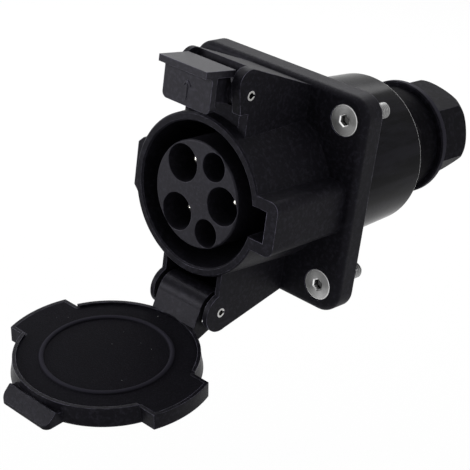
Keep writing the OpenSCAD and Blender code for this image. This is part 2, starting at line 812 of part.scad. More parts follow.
module lid_gasket() {
    ring_r = ring_d / 2 - ring_w / 2;
    color(rubber) swung_open() {
        along_y(pad_y - pad_t, pad_y) lid_plan(lid_wall + fit_gap);
        translate([0, pad_y, 0]) rotate([90, 0, 0])
            rotate_extrude() translate([ring_r, 0]) circle(ring_w / 2);
    }
}

// Rolled spring pin with its slit
module roll_pin() {
    difference() {
        rod_x(pin_r, ear_left, ear_right);
        rod_x(pin_r - pin_wall, ear_left - over, ear_right + over);
        translate([ear_left - over, 0, -pin_wall / 2])
            cube([ear_right - ear_left + 2 * over, pin_d, pin_wall]);
    }
}

module lid_hinge_pin() color(steel) at_pivot(hinge_y, -hinge_drop) roll_pin();
module latch_pin() color(steel) at_pivot(latch_y, latch_rise) roll_pin();

// Distance between neighbouring turns of a coil, in wire diameters
coil_spread = 1.08;
// Angles at which the coils start
lid_coil_start = 150;
latch_coil_start = 90;
wire_sides = 8;
turn_steps = 16;

// Ring of points round a wire at angle a of a coil about X, moved by the given amount
function wire_ring(coil_r, wire_r, x, a, move = [0, 0, 0]) =
    let (out = [0, cos(a), sin(a)])
    [for (j = [0:wire_sides - 1])
        let (b = 360 * j / wire_sides)
        [x, 0, 0] + move + coil_r * out + wire_r * (cos(b) * out + sin(b) * [1, 0, 0])];

// Rings of a coil that starts at x0 and angle a0, with a straight leg at its start and its end
function coil_rings(coil_r, wire_r, x0, pitch, turns, a0, leg0, leg1) =
    let (last = turns * turn_steps, a1 = a0 + 360 * turns)
    concat(
        [wire_ring(coil_r, wire_r, x0, a0, leg0 * [0, sin(a0), -cos(a0)])],
        [for (i = [0:last]) wire_ring(coil_r, wire_r, x0 + pitch * i / turn_steps,
                                      a0 + 360 * i / turn_steps)],
        [wire_ring(coil_r, wire_r, x0 + pitch * turns, a1, leg1 * [0, -sin(a1), cos(a1)])]
    );

// Closed skin over a row of rings
module swept(rings) {
    n = wire_sides;
    m = len(rings);
    polyhedron(
        points = [for (ring = rings) for (p = ring) p],
        faces = concat(
            [[for (j = [0:n - 1]) j]],
            [[for (j = [n - 1:-1:0]) (m - 1) * n + j]],
            [for (i = [0:m - 2]) for (j = [0:n - 1]) let (k = (j + 1) % n)
                each [[i * n + j, (i + 1) * n + j, (i + 1) * n + k], [i * n + j, (i + 1) * n + k, i * n + k]]]
        )
    );
}

// Coils in both ends of the knuckle, each with its leg in the gap beside the ear
module lid_springs() {
    gap = (hinge_gap - knuckle_l) / 2;
    pitch = lid_wire_d * coil_spread;
    x1 = hinge_gap / 2 - gap / 2;
    leg = sqrt(pow(knuckle_r - lid_wire_d / 4, 2) - pow(lid_coil_r, 2));
    color(steel) translate([hinge_mid, hinge_y, -hinge_drop]) both_sides()
        swept(coil_rings(lid_coil_r, lid_wire_d / 2, x1 - pitch * lid_coil_turns, pitch,
                         lid_coil_turns, lid_coil_start, lid_wire_d / 4, leg));
}

cheek_in = latch_w / 2 - cheek_l;

// Side view of a latch rib: hub, thumb plate and front plate joined by a web
module latch_rib() {
    plate_y = rim_y - front_plate_reach + front_plate_t / 2;
    web_low = latch_rise - hub_r;
    along_x(cheek_in, cheek_in + latch_rib_t) polygon([
        [latch_y, latch_rise], [latch_y - hub_r * cos(45), latch_rise + hub_r * sin(45)],
        [latch_y - hub_r, thumb_top_z - thumb_fall - thumb_t / 2], [plate_y, thumb_top_z - thumb_t / 2],
        [plate_y, plate_low_z + 2 * hook_h], [latch_y - 1.5 * hub_r, web_low + hub_r / 4],
        [latch_y, web_low]
    ]);
}

module thumb_plate() {
    front = rim_y - thumb_reach;
    rear = latch_y - hub_r;
    along_x(-latch_w / 2, latch_w / 2) polygon([
        [front, thumb_top_z - thumb_t], [front, thumb_top_z], [rear, thumb_top_z - thumb_fall],
        [rear, thumb_top_z - thumb_fall - thumb_t]
    ]);
}

// Cove between the thumb plate's underside and the front plate
module thumb_cove() {
    y0 = rim_y - front_plate_reach;
    z1 = thumb_top_z - thumb_t;
    middle = [y0, z1] - (thumb_cove_r - blend_in) * [1, 1];
    along_x(-latch_w / 2, latch_w / 2) difference() {
        polygon([middle, [middle[0], z1 + thumb_t / 2], [y0 + front_plate_t / 2, z1 + thumb_t / 2],
                 [y0 + front_plate_t / 2, middle[1]]]);
        translate(middle) circle(thumb_cove_r);
    }
}

// Front plate with rounded lower corners and a hook that the lid's tongue snaps behind
module front_plate() {
    y0 = rim_y - front_plate_reach;
    y1 = y0 + front_plate_t;
    h = 2 * (thumb_top_z - thumb_t / 2 - plate_low_z);
    intersection() {
        along_x(-latch_w / 2, latch_w / 2) polygon([
            [y0, plate_low_z], [y0, thumb_top_z - thumb_t / 2], [y1, thumb_top_z - thumb_t / 2],
            [y1, plate_low_z + hook_h + hook_depth], [y1 + hook_depth, plate_low_z + hook_h],
            [y1 + hook_depth, plate_low_z + hook_depth], [y1, plate_low_z]
        ]);
        along_y(y0 - over, y1 + hook_depth + over) translate([0, plate_low_z + h / 2])
            rounded_rectangle(latch_w, h, front_plate_r);
    }
}

// Shelf between the ribs that carries the front leg of the latch spring
module spring_shelf() {
    y0 = rim_y - front_plate_reach + front_plate_t / 2;
    top = latch_rise + latch_coil_r - latch_wire_d / 2;
    along_x(-cheek_in - latch_rib_t / 2, cheek_in + latch_rib_t / 2)
        translate([y0, top - shelf_t]) square([latch_y - hub_r - y0, shelf_t]);
}

module latch() {
    color(plastic) difference() {
        union() {
            thumb_plate();
            thumb_cove();
            front_plate();
            spring_shelf();
            both_sides() {
                latch_rib();
                at_pivot(latch_y, latch_rise) rod_x(hub_r, cheek_in, latch_w / 2);
            }
        }
        at_pivot(latch_y, latch_rise) rod_x(pin_r + running_gap, -latch_w, latch_w);
    }
}

// Coil between the latch's cheeks, with one leg under the hood and one under the thumb plate
module latch_spring() {
    pitch = latch_wire_d * coil_spread;
    x0 = -pitch * latch_coil_turns / 2;
    color(steel) at_pivot(latch_y, latch_rise)
        swept(coil_rings(latch_coil_r, latch_wire_d / 2, x0, pitch, latch_coil_turns, latch_coil_start,
                         latch_leg_l, latch_leg_l));
}

shell_front_y = -shell_seat_depth + shell_seal_t;

module shell_seal() {
    color(rubber) difference() {
        rod_y(shell_front_d / 2, -shell_seat_depth, shell_front_y);
        rod_y(spigot_r + fit_gap, -shell_seat_depth - over, shell_front_y + over);
    }
}

module rear_shell() {
    inner_front = spigot_r + fit_gap;
    inner_rear = shell_rear_d / 2 - shell_wall;
    hole = gland_thread_d / 2 + fit_gap;
    color(shell_black) turned([
        [shell_front_d / 2, shell_front_y], [shell_rear_d / 2, shell_l], [hole, shell_l],
        [hole, shell_l - shell_back_t], [inner_rear, shell_l - shell_back_t],
        [inner_front - shell_step, spigot_l + fit_gap], [inner_front, spigot_l + fit_gap],
        [inner_front, shell_front_y]
    ]);
}

gland_y = shell_l + gland_washer_t;
hex_end_y = gland_y + gland_hex_l;
neck_y = gland_y + gland_body_l;
neck_r = gland_nut_af / 2 - nut_wall;
seal_r = neck_r - neck_wall;
nut_y = neck_y + nut_gap;
nut_end_y = nut_y + gland_nut_l;
seal_end_y = nut_end_y - nut_end_t;
seal_y = neck_y + seal_seat;
passage_r = cable_d / 2 + passage_relief;

// Width of the hexagon's face that stays flat beside the bevel
bevel_margin = 0.4;

module gland_washer() {
    color(rubber) difference() {
        rod_y(gland_body_af / 2, shell_l, gland_y);
        rod_y(gland_thread_d / 2 + fit_gap, shell_l - over, gland_y + over);
    }
}

module gland_locknut() {
    rear = shell_l - shell_back_t;
    color(plastic) difference() {
        hex_y(locknut_af, rear - locknut_t, rear);
        rod_y(gland_thread_d / 2 + fit_gap, rear - locknut_t - over, rear + over);
    }
}

module gland_body() {
    front = shell_l - shell_back_t - locknut_t - thread_end;
    flat_r = gland_body_af / 2 + bevel_margin;
    corner_r = hex_r(gland_body_af);
    color(shell_black) difference() {
        union() {
            rod_y(gland_thread_d / 2, front, gland_y + over);
            intersection() {
                hex_y(gland_body_af, gland_y, hex_end_y, body_turn);
                turned([[0, gland_y], [flat_r, gland_y], [corner_r, gland_y + hex_bevel],
                        [corner_r, hex_end_y - hex_bevel], [flat_r, hex_end_y], [0, hex_end_y]]);
            }
            rod_y(nut_collar_d / 2 - round_step, hex_end_y - over, neck_y);
            rod_y(neck_r, neck_y - over, neck_y + neck_l);
        }
        rod_y(passage_r, front - over, seal_y + over);
        rod_y(seal_r, seal_y, neck_y + neck_l + over);
    }
}

// Rubber sleeve that the nut squeezes on the cable
module gland_seal() {
    color(rubber) difference() {
        rod_y(seal_r - fit_gap, seal_y, seal_end_y);
        rod_y(cable_d / 2, neck_y, seal_end_y + over);
    }
}

// Domed nut: a round collar in front, flats and a rounded end
module gland_nut() {
    corner_r = hex_r(gland_nut_af);
    collar_r = nut_collar_d / 2;
    collar_y = nut_y + nut_collar_l;
    color(shell_black) difference() {
        union() {
            turned([[0, nut_y], [collar_r - nut_bevel, nut_y], [collar_r, nut_y + nut_bevel],
                    [collar_r, collar_y - nut_bevel], [collar_r - nut_bevel, collar_y], [0, collar_y]]);
            intersection() {
                hex_y(gland_nut_af, nut_y + nut_collar_l / 2, nut_end_y, nut_turn);
                rotate([90, 0, 0]) rotate_extrude() {
                    translate([0, -nut_end_y + nut_round_r])
                        square([corner_r, gland_nut_l - nut_round_r]);
                    translate([0, -nut_end_y]) square([corner_r - nut_round_r, gland_nut_l]);
                    translate([corner_r - nut_round_r, -nut_end_y + nut_round_r]) circle(nut_round_r);
                }
            }
        }
        rod_y(neck_r + fit_gap, nut_y - over, neck_y + neck_l + nut_gap);
        rod_y(seal_r + fit_gap, neck_y, seal_end_y);
        rod_y(passage_r, nut_y, nut_end_y + over);
    }
}

front_housing();
contact_insert();
line_contact();
neutral_contact();
earth_contact();
pilot_contact();
proximity_contact();
contact_retainer();
retainer_screws();
insert_lock_ring();
flange_screws();
lid();
lid_gasket();
lid_hinge_pin();
lid_springs();
latch();
latch_pin();
latch_spring();
shell_seal();
rear_shell();
gland_washer();
gland_locknut();
gland_body();
gland_seal();
gland_nut();
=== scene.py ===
"""Looks of a panel-mounted charging inlet with a flip lid, a sprung latch and a cable gland."""
import json
import math

import bpy
import numpy as np
from mathutils import Matrix, Vector


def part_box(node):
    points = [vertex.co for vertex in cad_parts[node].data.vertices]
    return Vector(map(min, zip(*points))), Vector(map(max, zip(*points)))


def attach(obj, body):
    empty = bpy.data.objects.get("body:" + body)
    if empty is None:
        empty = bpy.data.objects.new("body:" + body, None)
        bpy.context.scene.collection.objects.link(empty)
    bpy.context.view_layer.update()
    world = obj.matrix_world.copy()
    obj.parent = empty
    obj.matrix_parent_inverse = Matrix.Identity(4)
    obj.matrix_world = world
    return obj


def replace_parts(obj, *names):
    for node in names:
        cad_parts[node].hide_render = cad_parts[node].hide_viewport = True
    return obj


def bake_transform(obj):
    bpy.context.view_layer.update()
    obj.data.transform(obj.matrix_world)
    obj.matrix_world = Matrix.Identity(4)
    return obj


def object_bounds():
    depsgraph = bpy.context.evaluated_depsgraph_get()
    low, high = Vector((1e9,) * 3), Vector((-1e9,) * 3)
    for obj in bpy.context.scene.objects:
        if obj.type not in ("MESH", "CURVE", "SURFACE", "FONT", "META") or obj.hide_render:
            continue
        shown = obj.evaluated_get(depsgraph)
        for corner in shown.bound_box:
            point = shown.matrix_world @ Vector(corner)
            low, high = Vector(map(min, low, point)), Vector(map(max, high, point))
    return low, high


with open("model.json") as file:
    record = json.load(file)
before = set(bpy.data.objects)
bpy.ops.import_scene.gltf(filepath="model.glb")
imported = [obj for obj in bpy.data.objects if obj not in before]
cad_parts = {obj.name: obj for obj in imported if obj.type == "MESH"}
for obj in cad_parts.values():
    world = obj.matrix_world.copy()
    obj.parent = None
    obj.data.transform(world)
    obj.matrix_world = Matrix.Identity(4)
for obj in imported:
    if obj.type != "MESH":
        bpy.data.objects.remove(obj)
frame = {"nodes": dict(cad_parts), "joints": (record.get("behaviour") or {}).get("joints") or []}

cad_box = [list(corner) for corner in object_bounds()]
MM = 0.001

# Camera, fitted to the rim, the bore, the core, the screws and the flange in the photograph. The
# photograph's side and middle are in pixels, the turns in degrees, lens and sensor in millimetres
PHOTO_SIDE = 470
PRINCIPAL_POINT = (236.30, 232.49)
CAMERA_PLACE = (0.25997, -0.33260, 0.16014)
CAMERA_TURNS = (39.495, 66.513, 7.792)
CAMERA_LENS = 108.99
CAMERA_SENSOR = 36.0

# Mounting screws: head, socket with the hollow at its bottom, shank and end
SCREW_HEAD_D = 9.8 * MM
SCREW_HEAD_RIM = 0.3 * MM
SCREW_SOCKET_AF = 3 * MM
SCREW_SOCKET_DEPTH = 2.3 * MM
SCREW_SOCKET_CHAMFER = 0.4 * MM
SCREW_HOLLOW_DEPTH = 0.3 * MM
SCREW_HOLLOW_SHARE = 0.3
SCREW_SHANK_D = 4.4 * MM
SCREW_SHANK_END = 7.5 * MM
SCREW_END_CHAMFER = 0.5 * MM
SCREW_SIDES = 72

# Inset and depth of the points that round the edge of a screw's head
SCREW_EDGE_POINTS = ((0.45 * MM, 0), (0.12 * MM, 0.1 * MM), (0, 0.25 * MM))

# Thread of the screws: depth and fades in pitches, blunting as a share of the wave at each end
SCREW_D = 5 * MM
SCREW_PITCH = 0.8 * MM
THREAD_DEPTH = 0.6
THREAD_FADE_IN = 0.5
THREAD_FADE_OUT = 0.4
THREAD_BLUNTING = 0.15
THREAD_CHAMFER = 0.2 * MM
THREAD_ROWS = 190

# Finish of the screws: mean roughness, width of the highlight painted on the rim, angle of the two
# sectors that get a painted sheen, size of the rings
SCREW_MATT = 0.62
SCREW_RIM_HIGHLIGHT = 0.35 * MM
SCREW_PAINTED_SHEEN_ANGLE = 120
SCREW_RING = 0.2 * MM

# Springs: mean coil radius, wire radius, pitch, turns, first angle in degrees, legs at both ends
LID_COIL = dict(coil_r=3.1 * MM, wire_r=0.5 * MM, pitch=1.08 * MM, turns=4, start=150,
                legs=(0.25 * MM, 4.961 * MM))
LATCH_COIL = dict(coil_r=2.6 * MM, wire_r=0.45 * MM, pitch=0.972 * MM, turns=7, start=90,
                  legs=(7 * MM, 7 * MM))
WIRE_SIDES = 16
WIRE_STEPS = 40

# Middle between the lid's two coils along X, and their outer ends from there
LID_COIL_MIDDLE = 0.75 * MM
LID_COIL_END = 9.725 * MM

# Rise of the bead on the lid's pad
BEAD_H = 0.8 * MM

# Collar of the gland's nut
COLLAR_L = 2.8 * MM
COLLAR_BEVEL = 0.7 * MM

# Arrow mark on the latch, below the thumb plate that stands out over the front plate
THUMB_OVERHANG = 2.9 * MM
ARROW_DROP = 5.6 * MM
ARROW_H = 6 * MM
ARROW_W = 2.8 * MM
ARROW_BARB_SHARE = 0.6
ARROW_STROKE = 0.36 * MM
ARROW_RELIEF = 0.22 * MM
ARROW_SUNK_SHARE = 0.5
STROKE_ROWS = 24
STROKE_SIDES = 20
STROKE_END_POWER = 8
STROKE_END_LEAST = 0.0004

# Faces that meet at more than this many degrees keep a sharp edge
SHARP_ANGLE = 32

# Outer edges, which most finishes paint with a highlight: rays of each test, turn of the normal
# that marks an edge, openness that marks an outer one, and the distance of the openness test in
# edge radii
EDGE_RAYS = 8
EDGE_TURN = (0.01, 0.2)
EDGE_OPENNESS = (0.7, 0.95)
EDGE_DISTANCE = 4

# Shares of red, green and blue in the black mouldings and in what they reflect
INK_CAST = (0.92, 0.88, 1.2)
SHEEN_CAST = (0.88, 0.86, 1.0, 1)

# Moulded plastics: base level, mean roughness, size of the grain, specular level, and level of the
# highlight painted along outer edges
HOUSING_NYLON = dict(tone=0.0045, matt=0.5, grain=0.22 * MM, specular=0.062, edge_highlight=0.22)
LID_NYLON = dict(tone=0.004, matt=0.37, grain=0.22 * MM, specular=0.055, edge_highlight=0.14)
LATCH_NYLON = dict(tone=0.006, matt=0.45, grain=0.2 * MM, specular=0.155, edge_highlight=0.2)
INSERT_PLASTIC = dict(tone=0.005, matt=0.5, grain=0.2 * MM, specular=0.16, edge_highlight=0.06)
GLAND_NYLON = dict(tone=0.004, matt=0.45, grain=0.3 * MM, specular=0.019, edge_highlight=0.12)
# The gland's body is a darker copy of the gland's nylon: its lower tone paints the shade it sits in
GLAND_BODY_NYLON = dict(tone=0.002, matt=0.5, grain=0.3 * MM, specular=0.012, edge_highlight=0.03)

# Polished plastic and rubbers, in the same words
SHELL_PLASTIC = dict(matt=0.2, specular=0.034)
LID_RUBBER = dict(tone=0.0035, matt=0.72, specular=0.03)
SEAL_RUBBER = dict(tone=0.006, matt=0.72, specular=0.03)

# Metals: colour where bright and where dull, mean roughness, and stretch of the brushing if any
SATIN_STEEL = dict(bright=(0.62, 0.61, 0.59, 1), dull=(0.42, 0.42, 0.42, 1), matt=0.3)
PIN_STEEL = dict(bright=(0.68, 0.67, 0.65, 1), dull=(0.3, 0.3, 0.3, 1), matt=0.3)
SILVER_PLATE = dict(bright=(0.82, 0.8, 0.76, 1), dull=(0.68, 0.65, 0.58, 1), matt=0.26,
                    brushing=(1, 0.05, 1))
SPRING_WIRE = dict(bright=(0.6, 0.6, 0.6, 1), dull=(0.45, 0.45, 0.45, 1), matt=0.25)

# Floor: gap below the part, side, level of its paint, and share of its own glow that is seen
FLOOR_DROP = 60 * MM
FLOOR_SIDE = 6.0
FLOOR_PAINT = 0.85
FLOOR_GLOW = 0.9

# Strength of the surround as a light, and as it is seen
SURROUND_LIGHT = 0.5
SURROUND_SEEN = 1.0

# Soft lamps that face the part: place, side of the square and power
LAMPS = {
    "top_lamp": ((-0.35, 0.50, 0.60), 0.55, 4.0),
    "key_lamp": ((-0.53, -0.16, 0.71), 0.15, 1.7),
    "front_lamp": ((-0.55, -0.70, 0.12), 0.30, 5.0),
    "side_lamp": ((0.75, -0.10, 0.45), 0.25, 1.0),
}


class Wire:
    """A shader socket in a sum: each operator adds one Math node to the tree it belongs to."""

    def __init__(self, nodes, socket):
        self.nodes = nodes
        self.socket = socket

    def __add__(self, other):
        return self.nodes.math("ADD", self, other)

    __radd__ = __add__

    def __mul__(self, other):
        return self.nodes.math("MULTIPLY", self, other)

    __rmul__ = __mul__

    def __sub__(self, other):
        return self.nodes.math("SUBTRACT", self, other)

    def __rsub__(self, other):
        return self.nodes.math("SUBTRACT", other, self)


class Nodes:
    """An emptied node tree, with methods that add the nodes of a finish."""

    def __init__(self, owner):
        owner.use_nodes = True
        self.tree = owner.node_tree
        self.tree.nodes.clear()

    def node(self, kind, settings=(), inputs=(), output=0):
        """Adds a node: first its settings, then a value or a link for each of its sockets."""
        made = self.tree.nodes.new("ShaderNode" + kind)
        for key, value in dict(settings).items():
            setattr(made, key, value)
        for key, value in dict(inputs).items():
            if isinstance(value, Wire):
                self.tree.links.new(value.socket, made.inputs[key])
            else:
                made.inputs[key].default_value = value
        return Wire(self, made.outputs[output]) if made.outputs else None

    def math(self, operation, *values):
        """One Math node on values or sockets."""
        return self.node("Math", {"operation": operation}, dict(enumerate(values)))

    def dot(self, first, second):
        """The dot product of two vectors."""
        vectors = {0: first, 1: second}
        return self.node("VectorMath", {"operation": "DOT_PRODUCT"}, vectors, output="Value")

    def mix(self, share, first, second):
        """The first colour at share 0, the second at share 1."""
        return self.node("Mix", {"data_type": "RGBA"}, {0: share, 6: first, 7: second}, output=2)

    def place(self):
        """Object coordinates, in metres."""
        return self.node("TexCoord", output="Object")

    def stretched(self, place, scale):
        """A place times scale, so that a pattern on it draws out along the axis of least scale."""
        return self.node("Mapping", {}, {"Vector": place, "Scale": scale})

    def attribute(self, name):
        """A value that the mesh keeps at each of its points."""
        return self.node("Attribute", {"attribute_name": name}, output="Fac")

    def noise(self, place, size, detail, rough):
        """Noise from 0 to 1 whose patches measure about size metres."""
        settings = {"Vector": place, "Scale": 1 / size, "Detail": detail, "Roughness": rough}
        return self.node("TexNoise", {}, settings)

    def swing(self, noise, span):
        """A noise as a change about nought, with span between its ends."""
        return span * (noise - 0.5)

    def step(self, value, low, high):
        """Smooth step from 0 below low to 1 above high."""
        settings = {"Value": value, "From Min": low, "From Max": high}
        return self.node("MapRange", {"interpolation_type": "SMOOTHSTEP"}, settings)

    def band(self, place, facing, low, high, soft=0.3 * MM):
        """1 where the height along the facing direction lies between low and high metres."""
        height = self.dot(place, facing)
        above = self.step(height, low - soft, low + soft)
        return above * (1 - self.step(height, high - soft, high + soft))

    def soft_edges(self, radius):
        """Normals that round every edge by radius, and a mask that is 1 along the outer edges."""
        rounded = self.node("Bevel", {"samples": EDGE_RAYS}, {"Radius": radius})
        same = self.dot(rounded, self.node("NewGeometry", output="Normal"))
        settings = {"samples": EDGE_RAYS, "only_local": True}
        reach = {"Distance": radius * EDGE_DISTANCE}
        free = self.node("AmbientOcclusion", settings, reach, output="AO")
        return rounded, self.step(1 - same, *EDGE_TURN) * self.step(free, *EDGE_OPENNESS)

    def bump(self, height, depth, normal):
        """Normals that follow a height from 0 to 1, which stands for depth metres."""
        return self.node("Bump", {}, {"Height": height, "Distance": depth, "Normal": normal})

    def principled(self, base, roughness, normal, **more):
        """Ends the tree in one principled shader. More holds its other sockets by name."""
        inputs = {"Base Color": base, "Roughness": roughness, "Normal": normal}
        for key, value in more.items():
            inputs[key.replace("_", " ")] = value
        shader = self.node("BsdfPrincipled", {}, inputs)
        self.node("OutputMaterial", {}, {"Surface": shader})


def grey(level):
    """A neutral grey of that linear level."""
    return (level, level, level, 1)


def ink(level):
    """A black of about that linear level, with the faint violet cast of the mouldings."""
    return (*(level * share for share in INK_CAST), 1)


def moulded_plastic(name, tone, matt, grain, specular, edge_highlight, highlight_heights=None):
    """Black moulded plastic: cloudy flow marks, a fine grain, a lighter mottle and painted edge
    highlights.

    The last argument holds a direction and two heights along it, between which the plastic is painted
    a little lighter, as a highlight.
    """
    material = bpy.data.materials.new(name)
    n = Nodes(material)
    place = n.place()
    rounded, edge = n.soft_edges(radius=0.3 * MM)
    clouds = n.noise(place, size=14 * MM, detail=3.0, rough=0.55)
    fine = n.noise(place, size=grain, detail=2.0, rough=0.6)
    pits = n.noise(place, size=grain * 3, detail=2.0, rough=0.5)
    spots = n.noise(place, size=grain * 6, detail=3.0, rough=0.7)
    highlight_patches = n.noise(place, size=3 * MM, detail=3.0, rough=0.6)
    mottle = n.step(spots, low=0.45, high=0.7)
    # Mask of a highlight painted along the outer edges, broken into patches
    painted_edge_highlight = edge * n.step(highlight_patches, low=0.3, high=0.7)
    dark_cloud = ink(tone * 0.75)
    light_cloud = ink(tone * 1.25)
    light_grain = ink(tone * 1.9)
    light_spot = ink(tone * 3.4)
    band_highlight = ink(tone * 6)
    base = n.mix(clouds, dark_cloud, light_cloud)
    base = n.mix(fine * 0.35, base, light_grain)
    base = n.mix(mottle * 0.8, base, light_spot)
    # A painted highlight on a band, such as the collar of the gland's nut
    if highlight_heights:
        base = n.mix(n.band(place, *highlight_heights), base, band_highlight)
    # Painted highlight along the outer edges
    base = n.mix(painted_edge_highlight, base, ink(edge_highlight))
    roughness = matt + n.swing(clouds, span=0.12) + n.swing(fine, span=0.1) - 0.1 * edge
    normal = n.bump(fine * 0.6 + pits * 0.4, depth=0.05 * MM, normal=rounded)
    n.principled(base, roughness, normal, Specular_IOR_Level=specular, Specular_Tint=SHEEN_CAST)
    return material


def gloss_plastic(name, matt, specular):
    """Polished black plastic: faint streaks in the gloss, also painted in the colour as reflections,
    dust-fine specks, a slight waviness and a painted glint along the edges.
    """
    material = bpy.data.materials.new(name)
    n = Nodes(material)
    place = n.place()
    rounded, edge = n.soft_edges(radius=0.4 * MM)
    waves = n.noise(place, size=20 * MM, detail=2.0, rough=0.4)
    streaks = n.noise(n.stretched(place, scale=(6, 1, 6)), size=40 * MM, detail=4.0, rough=0.6)
    dust = n.noise(place, size=0.35 * MM, detail=1.0, rough=0.5)
    specks = n.step(dust, low=0.72, high=0.8)
    clear = ink(0.001)
    reflection_streak = ink(0.008)
    dusty = ink(0.03)
    painted_edge_glint = grey(0.9)
    # Streaks of painted reflection in the colour
    base = n.mix(n.step(streaks, low=0.4, high=0.65), clear, reflection_streak)
    base = n.mix(specks * 0.5, base, dusty)
    # A painted glint along the outer edges
    base = n.mix(edge, base, painted_edge_glint)
    roughness = matt + n.swing(streaks, span=0.12) + 0.15 * specks - 0.06 * edge
    normal = n.bump(waves, depth=0.12 * MM, normal=rounded)
    n.principled(base, roughness, normal, Specular_IOR_Level=specular, Specular_Tint=SHEEN_CAST)
    return material


def grained_rubber(name, tone, matt, specular, bead_highlight=None):
    """Black rubber: a leathery grain, a dull bloom, a little pale dust and painted edge highlights.

    The last argument holds a direction and two heights along it, between which the rubber is painted
    lighter, as a highlight on the pad's bead.
    """
    material = bpy.data.materials.new(name)
    n = Nodes(material)
    place = n.place()
    rounded, edge = n.soft_edges(radius=0.4 * MM)
    bloom = n.noise(place, size=9 * MM, detail=4.0, rough=0.6)
    grain = n.noise(place, size=0.45 * MM, detail=3.0, rough=0.65)
    specks = n.noise(place, size=0.5 * MM, detail=0.0, rough=0.5)
    dust = n.step(specks, low=0.915, high=0.94)
    dark_bloom = ink(tone * 0.7)
    light_bloom = ink(tone * 1.4)
    light_grain = ink(tone * 3)
    rubber_edge_highlight = ink(tone * 9)
    band_highlight = ink(tone * 5)
    pale_dust = grey(0.5)
    base = n.mix(bloom, dark_bloom, light_bloom)
    base = n.mix(n.step(grain, low=0.45, high=0.7) * 0.6, base, light_grain)
    # A painted highlight along the outer edges, the bead's among them
    base = n.mix(edge * 0.7, base, rubber_edge_highlight)
    # A painted highlight on the band that holds the bead
    if bead_highlight:
        base = n.mix(n.band(place, *bead_highlight), base, band_highlight)
    base = n.mix(dust, base, pale_dust)
    roughness = matt + n.swing(bloom, span=0.15) - 0.08 * edge
    normal = n.bump(grain, depth=0.09 * MM, normal=rounded)
    n.principled(base, roughness, normal, Specular_IOR_Level=specular, Specular_Tint=SHEEN_CAST)
    return material


def metal(name, bright, dull, matt, brushing=(1, 1, 1)):
    """Metal with a fine grain, drawn out where brushing says so, and duller patches."""
    material = bpy.data.materials.new(name)
    n = Nodes(material)
    place = n.place()
    rounded, edge = n.soft_edges(radius=0.12 * MM)
    lines = n.noise(n.stretched(place, brushing), size=1.2 * MM, detail=3.0, rough=0.6)
    patches = n.noise(place, size=2.5 * MM, detail=3.0, rough=0.6)
    base = n.mix(patches, dull, bright)
    roughness = matt + n.swing(lines, span=0.14) + n.swing(patches, span=0.12) - 0.05 * edge
    normal = n.bump(lines, depth=0.012 * MM, normal=rounded)
    n.principled(base, roughness, normal, Metallic=1.0)
    return material


def screw_steel(name, face_y):
    """Turned steel: rings on the faces, a sheen painted in two sectors, painted highlights on the
    rims, edges and socket walls, and painted shade on the socket's floor and the thread's roots.

    Depth is measured from the face of the head, and radius from the screw's own axis.
    """
    material = bpy.data.materials.new(name)
    n = Nodes(material)
    place = n.place()
    rounded, edge = n.soft_edges(radius=0.2 * MM)
    radius = n.attribute("radius")
    painted_sheen = n.attribute("painted_sheen")
    depth = n.node("SeparateXYZ", {}, {0: place}, output="Y") - face_y
    turning = {"W": radius, "Scale": 1 / SCREW_RING, "Detail": 3.0}
    rings = n.node("TexNoise", {"noise_dimensions": "1D"}, turning)
    patches = n.noise(place, size=2 * MM, detail=3.0, rough=0.6)
    rim_r = SCREW_HEAD_D / 2 - SCREW_RIM_HIGHLIGHT
    thread_r = SCREW_D / 2
    rim = n.step(radius, low=rim_r - 0.1 * MM, high=rim_r + 0.1 * MM)
    sunk = n.step(depth, low=0.05 * MM, high=0.15 * MM) * (1 - rim)
    deep = n.step(depth, low=SCREW_SOCKET_DEPTH * 0.45, high=SCREW_SOCKET_DEPTH * 0.75)
    thread = n.step(depth, low=SCREW_SHANK_END - 1 * MM, high=SCREW_SHANK_END)
    crest = n.step(radius, low=thread_r - 0.4 * MM, high=thread_r - 0.1 * MM)
    # Random polish, plus a sheen painted on two sectors of each face
    polish_and_sheen = 0.3 * patches + 0.35 * rings + 0.35 * painted_sheen
    dull_turning = grey(0.03)
    bright_turning = grey(0.75)
    painted_rim_highlight = grey(0.9)
    socket_wall_highlight = grey(0.95)
    socket_floor_shade = grey(0.08)
    thread_root_shade = grey(0.05)
    thread_crest = grey(0.32)
    base = n.mix(polish_and_sheen, dull_turning, bright_turning)
    # Painted highlights on the rim and the outer edges
    base = n.mix(n.math("MAXIMUM", edge, rim) * 0.9, base, painted_rim_highlight)
    # The socket's walls are painted bright, as a highlight, and its floor dark, as shade
    base = n.mix(sunk, base, socket_wall_highlight)
    base = n.mix(deep, base, socket_floor_shade)
    # The thread is painted darker in its roots than on its crests, as shade
    base = n.mix(thread, base, n.mix(crest, thread_root_shade, thread_crest))
    roughness = SCREW_MATT + n.swing(rings, span=0.2) - 0.2 * edge - 0.3 * sunk
    normal = n.bump(rings, depth=0.02 * MM, normal=rounded)
    n.principled(base, roughness, normal, Metallic=1.0)
    return material


def dress(material, *names):
    """Gives the CAD nodes of those names one finish."""
    for name in names:
        slots = frame["nodes"][name].data.materials
        slots.clear()
        slots.append(material)


def bead_heights():
    """The way that the lid's pad faces, and the heights along it that hold its bead.

    The way is the normal of the mesh's largest face, turned upwards as on the open lid. Heights
    are dot products with it, and the bead's top is the highest of them.
    """
    mesh = frame["nodes"]["lid_gasket"].data
    facing = max(mesh.polygons, key=lambda face: face.area).normal.copy()
    if facing.z < 0:
        facing.negate()
    top = max(facing.dot(point.co) for point in mesh.vertices)
    return facing, top - BEAD_H / 2, top + BEAD_H


def collar_heights():
    """The gland's axis, and the heights along it that hold the collar of its nut."""
    collar_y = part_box("gland_nut")[0].y
    return Vector((0, 1, 0)), collar_y + COLLAR_BEVEL, collar_y + COLLAR_L


